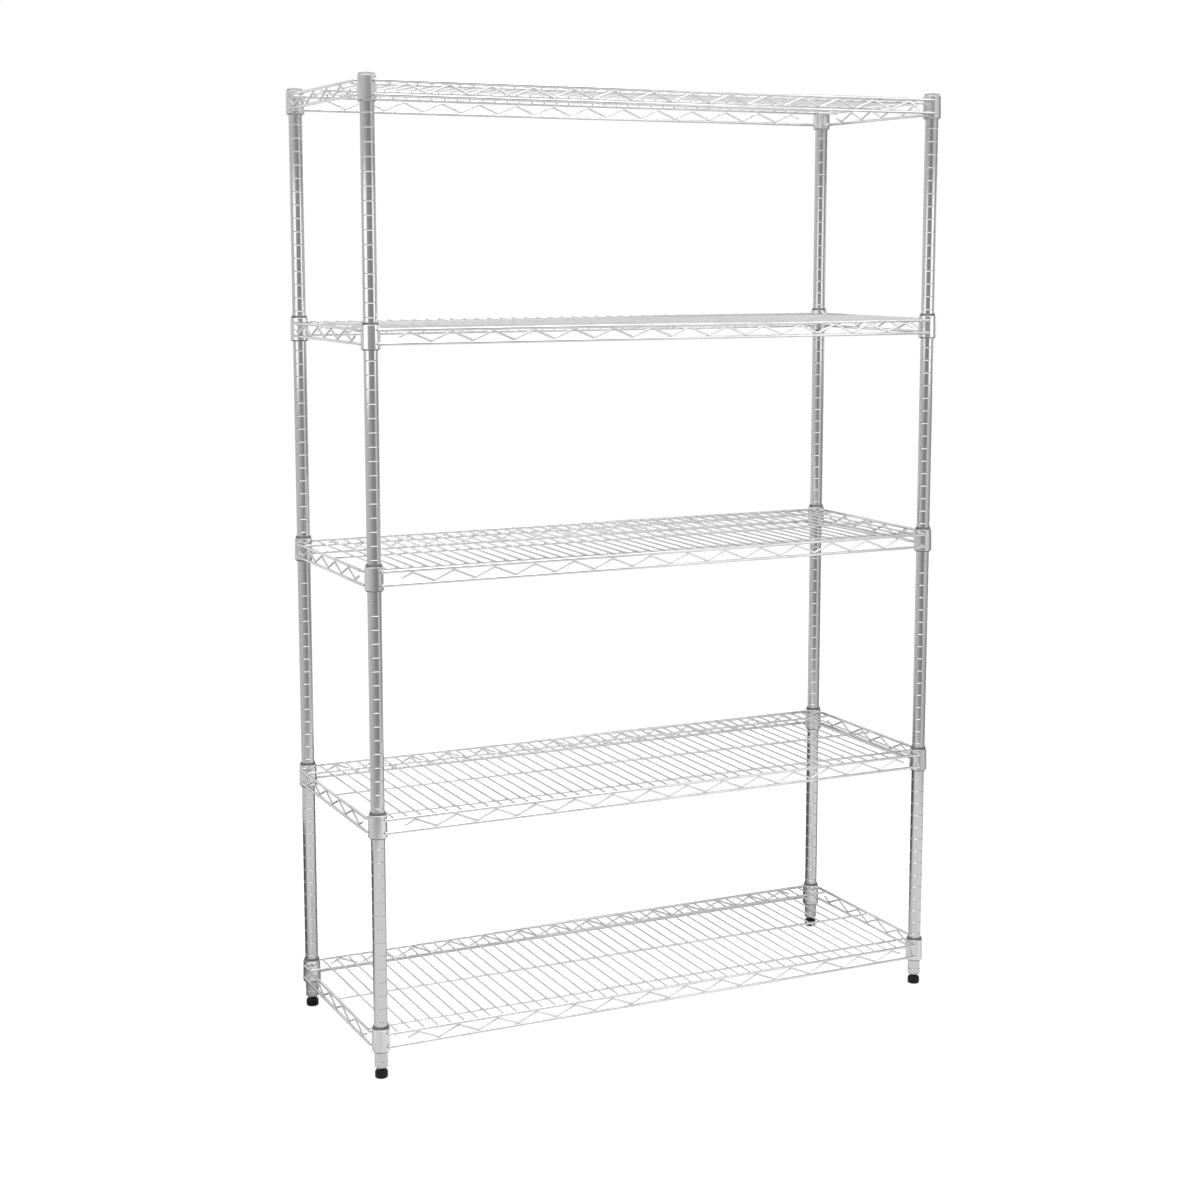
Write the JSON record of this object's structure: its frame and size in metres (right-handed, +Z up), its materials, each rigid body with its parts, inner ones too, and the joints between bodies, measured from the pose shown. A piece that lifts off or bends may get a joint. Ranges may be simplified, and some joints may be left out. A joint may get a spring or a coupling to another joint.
{
  "type": "wire shelving rack",
  "caption": "Free-standing wire shelving rack: tubular corner posts on levelling feet carry welded wire shelves, whose tapered collars wedge on split sleeves and lift off.",
  "frame": {"origin": "on the floor, under the centre of the rack", "axes": "+X along the width to the right, +Y along the depth to the back, +Z up"},
  "size_m": [1.2, 0.45, 1.8],
  "materials": {
    "post_chrome": "polished",
    "shelf_chrome": "polished",
    "zinc_steel": "satin",
    "grey_plastic": "satin",
    "black_plastic": "satin"
  },
  "bodies": {
    "posts": {"post_lower_front_left": "post_chrome", "post_lower_front_right": "post_chrome", "post_lower_back_left": "post_chrome", "post_lower_back_right": "post_chrome", "post_upper_front_left": "post_chrome", "post_upper_front_right": "post_chrome", "post_upper_back_left": "post_chrome", "post_upper_back_right": "post_chrome", "post_coupler_front_left": "zinc_steel", "post_coupler_front_right": "zinc_steel", "post_coupler_back_left": "zinc_steel", "post_coupler_back_right": "zinc_steel", "post_cap_front_left": "grey_plastic", "post_cap_front_right": "grey_plastic", "post_cap_back_left": "grey_plastic", "post_cap_back_right": "grey_plastic", "foot_insert_front_left": "zinc_steel", "foot_insert_front_right": "zinc_steel", "foot_insert_back_left": "zinc_steel", "foot_insert_back_right": "zinc_steel", "sleeve_bottom_front_left": "grey_plastic", "sleeve_bottom_front_right": "grey_plastic", "sleeve_bottom_back_left": "grey_plastic", "sleeve_bottom_back_right": "grey_plastic", "sleeve_lower_front_left": "grey_plastic", "sleeve_lower_front_right": "grey_plastic", "sleeve_lower_back_left": "grey_plastic", "sleeve_lower_back_right": "grey_plastic", "sleeve_middle_front_left": "grey_plastic", "sleeve_middle_front_right": "grey_plastic", "sleeve_middle_back_left": "grey_plastic", "sleeve_middle_back_right": "grey_plastic", "sleeve_upper_front_left": "grey_plastic", "sleeve_upper_front_right": "grey_plastic", "sleeve_upper_back_left": "grey_plastic", "sleeve_upper_back_right": "grey_plastic", "sleeve_top_front_left": "grey_plastic", "sleeve_top_front_right": "grey_plastic", "sleeve_top_back_left": "grey_plastic", "sleeve_top_back_right": "grey_plastic"},
    "bottom_shelf": {"bottom_shelf_frame": "shelf_chrome", "bottom_shelf_deck": "shelf_chrome"},
    "lower_shelf": {"lower_shelf_frame": "shelf_chrome", "lower_shelf_deck": "shelf_chrome"},
    "middle_shelf": {"middle_shelf_frame": "shelf_chrome", "middle_shelf_deck": "shelf_chrome"},
    "upper_shelf": {"upper_shelf_frame": "shelf_chrome", "upper_shelf_deck": "shelf_chrome"},
    "top_shelf": {"top_shelf_frame": "shelf_chrome", "top_shelf_deck": "shelf_chrome"},
    "pad_front_left": {"foot_pad_front_left": "black_plastic"},
    "pad_front_right": {"foot_pad_front_right": "black_plastic"},
    "pad_back_left": {"foot_pad_back_left": "black_plastic"},
    "pad_back_right": {"foot_pad_back_right": "black_plastic"},
    "stud_front_left": {"foot_stud_front_left": "zinc_steel"},
    "stud_front_right": {"foot_stud_front_right": "zinc_steel"},
    "stud_back_left": {"foot_stud_back_left": "zinc_steel"},
    "stud_back_right": {"foot_stud_back_right": "zinc_steel"}
  },
  "joints": [
    {"name": "bottom_shelf_lift", "type": "slide", "parent": "posts", "child": "bottom_shelf", "axis": [0, 0, 1], "range_m": [0, 0.355]},
    {"name": "lower_shelf_lift", "type": "slide", "parent": "posts", "child": "lower_shelf", "axis": [0, 0, 1], "range_m": [0, 0.405]},
    {"name": "middle_shelf_lift", "type": "slide", "parent": "posts", "child": "middle_shelf", "axis": [0, 0, 1], "range_m": [0, 0.38]},
    {"name": "upper_shelf_lift", "type": "slide", "parent": "posts", "child": "upper_shelf", "axis": [0, 0, 1], "range_m": [0, 0.38]},
    {"name": "top_shelf_lift", "type": "slide", "parent": "posts", "child": "top_shelf", "axis": [0, 0, 1], "range_m": [0, 0.046]},
    {"name": "foot_drop_front_left", "type": "slide", "parent": "posts", "child": "pad_front_left", "axis": [0, 0, -1], "range_m": [0, 0.01]},
    {"name": "foot_drop_front_right", "type": "slide", "parent": "posts", "child": "pad_front_right", "axis": [0, 0, -1], "range_m": [0, 0.01]},
    {"name": "foot_drop_back_left", "type": "slide", "parent": "posts", "child": "pad_back_left", "axis": [0, 0, -1], "range_m": [0, 0.01]},
    {"name": "foot_drop_back_right", "type": "slide", "parent": "posts", "child": "pad_back_right", "axis": [0, 0, -1], "range_m": [0, 0.01]},
    {"name": "stud_turn_front_left", "type": "hinge", "parent": "pad_front_left", "child": "stud_front_left", "pos_m": [-0.57974, -0.20474, 0.02], "axis": [0, 0, -1], "range_deg": [0, 2880]},
    {"name": "stud_turn_front_right", "type": "hinge", "parent": "pad_front_right", "child": "stud_front_right", "pos_m": [0.57974, -0.20474, 0.02], "axis": [0, 0, -1], "range_deg": [0, 2880]},
    {"name": "stud_turn_back_left", "type": "hinge", "parent": "pad_back_left", "child": "stud_back_left", "pos_m": [-0.57974, 0.20474, 0.02], "axis": [0, 0, -1], "range_deg": [0, 2880]},
    {"name": "stud_turn_back_right", "type": "hinge", "parent": "pad_back_right", "child": "stud_back_right", "pos_m": [0.57974, 0.20474, 0.02], "axis": [0, 0, -1], "range_deg": [0, 2880]}
  ],
  "couplings": [
    {"joint": "foot_drop_front_left", "follows": "stud_turn_front_left", "m_per_rad": 0.00019894},
    {"joint": "foot_drop_front_right", "follows": "stud_turn_front_right", "m_per_rad": 0.00019894},
    {"joint": "foot_drop_back_left", "follows": "stud_turn_back_left", "m_per_rad": 0.00019894},
    {"joint": "foot_drop_back_right", "follows": "stud_turn_back_right", "m_per_rad": 0.00019894}
  ]
}
